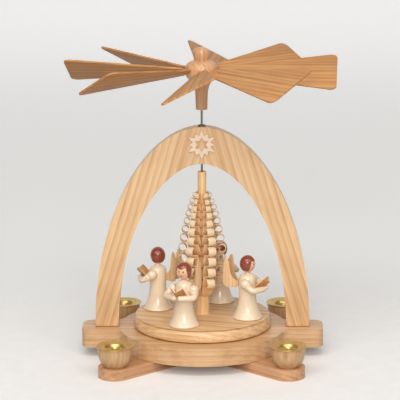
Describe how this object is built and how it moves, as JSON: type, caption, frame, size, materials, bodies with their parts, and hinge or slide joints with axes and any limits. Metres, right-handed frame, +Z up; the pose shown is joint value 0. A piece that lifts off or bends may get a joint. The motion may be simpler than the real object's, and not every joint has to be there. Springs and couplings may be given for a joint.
{
  "type": "christmas pyramid",
  "caption": "Wooden Christmas pyramid: an arch on a round board with candle cups on crossed feet; candle heat turns a wing wheel, shaft and turntable with angels round a shaved tree.",
  "frame": {"origin": "on the shaft axis at table level, the middle of the crossed feet's underside", "axes": "+Z up along the shaft, -Y to the front (the side with the star), X along the arch"},
  "size_m": [0.2512, 0.2512, 0.292],
  "materials": {
    "ash": "clear varnish",
    "beech": "clear varnish",
    "pale_wood": "turned and lacquered",
    "lime": "shaved, bare",
    "painted_head": "painted, glossy",
    "painted_book": "painted",
    "brass": "polished",
    "steel": "drawn rod",
    "bearing_glass": "pressed"
  },
  "bodies": {
    "stand": {"foot_beam_1": "beech", "foot_beam_2": "beech", "base_plate": "ash", "arch": "ash", "arch_dowel_left": "beech", "arch_dowel_right": "beech", "star_ornament": "pale_wood", "bearing_cup": "bearing_glass", "crown_bush": "brass", "candle_cup_1": "pale_wood", "candle_cup_2": "pale_wood", "candle_cup_3": "pale_wood", "candle_cup_4": "pale_wood", "candle_sleeve_1": "brass", "candle_sleeve_2": "brass", "candle_sleeve_3": "brass", "candle_sleeve_4": "brass"},
    "rotor": {"shaft": "steel", "turntable": "ash", "tree": "lime", "wheel_hub": "beech", "angel_1_body": "pale_wood", "angel_1_head": "painted_head", "angel_1_arm_left": "pale_wood", "angel_1_arm_right": "pale_wood", "angel_1_book": "painted_book", "angel_1_wing_left": "lime", "angel_1_wing_right": "lime", "angel_2_body": "pale_wood", "angel_2_head": "painted_head", "angel_2_arm_left": "pale_wood", "angel_2_arm_right": "pale_wood", "angel_2_book": "painted_book", "angel_2_wing_left": "lime", "angel_2_wing_right": "lime", "angel_3_body": "pale_wood", "angel_3_head": "painted_head", "angel_3_arm_left": "pale_wood", "angel_3_arm_right": "pale_wood", "angel_3_book": "painted_book", "angel_3_wing_left": "lime", "angel_3_wing_right": "lime", "angel_4_body": "pale_wood", "angel_4_head": "painted_head", "angel_4_arm_left": "pale_wood", "angel_4_arm_right": "pale_wood", "angel_4_book": "painted_book", "angel_4_wing_left": "lime", "angel_4_wing_right": "lime"},
    "blade_1": {"wing_blade_1": "ash"},
    "blade_2": {"wing_blade_2": "ash"},
    "blade_3": {"wing_blade_3": "ash"},
    "blade_4": {"wing_blade_4": "ash"},
    "blade_5": {"wing_blade_5": "ash"},
    "blade_6": {"wing_blade_6": "ash"},
    "blade_7": {"wing_blade_7": "ash"},
    "blade_8": {"wing_blade_8": "ash"}
  },
  "joints": [
    {"name": "rotor_spin", "type": "hinge", "parent": "stand", "child": "rotor", "pos_m": [0, 0, 0.0275], "axis": [0, 0, 1], "continuous": true},
    {"name": "blade_pitch_1", "type": "hinge", "parent": "rotor", "child": "blade_1", "pos_m": [0, 0, 0.27], "axis": [-0.075, -0.9972, 0], "range_deg": [-27, 63]},
    {"name": "blade_pitch_2", "type": "hinge", "parent": "rotor", "child": "blade_2", "pos_m": [0, 0, 0.27], "axis": [0.6521, -0.7581, 0], "range_deg": [-27, 63]},
    {"name": "blade_pitch_3", "type": "hinge", "parent": "rotor", "child": "blade_3", "pos_m": [0, 0, 0.27], "axis": [0.9972, -0.075, 0], "range_deg": [-27, 63]},
    {"name": "blade_pitch_4", "type": "hinge", "parent": "rotor", "child": "blade_4", "pos_m": [0, 0, 0.27], "axis": [0.7581, 0.6521, 0], "range_deg": [-27, 63]},
    {"name": "blade_pitch_5", "type": "hinge", "parent": "rotor", "child": "blade_5", "pos_m": [0, 0, 0.27], "axis": [0.075, 0.9972, 0], "range_deg": [-27, 63]},
    {"name": "blade_pitch_6", "type": "hinge", "parent": "rotor", "child": "blade_6", "pos_m": [0, 0, 0.27], "axis": [-0.6521, 0.7581, 0], "range_deg": [-27, 63]},
    {"name": "blade_pitch_7", "type": "hinge", "parent": "rotor", "child": "blade_7", "pos_m": [0, 0, 0.27], "axis": [-0.9972, 0.075, 0], "range_deg": [-27, 63]},
    {"name": "blade_pitch_8", "type": "hinge", "parent": "rotor", "child": "blade_8", "pos_m": [0, 0, 0.27], "axis": [-0.7581, -0.6521, 0], "range_deg": [-27, 63]}
  ]
}
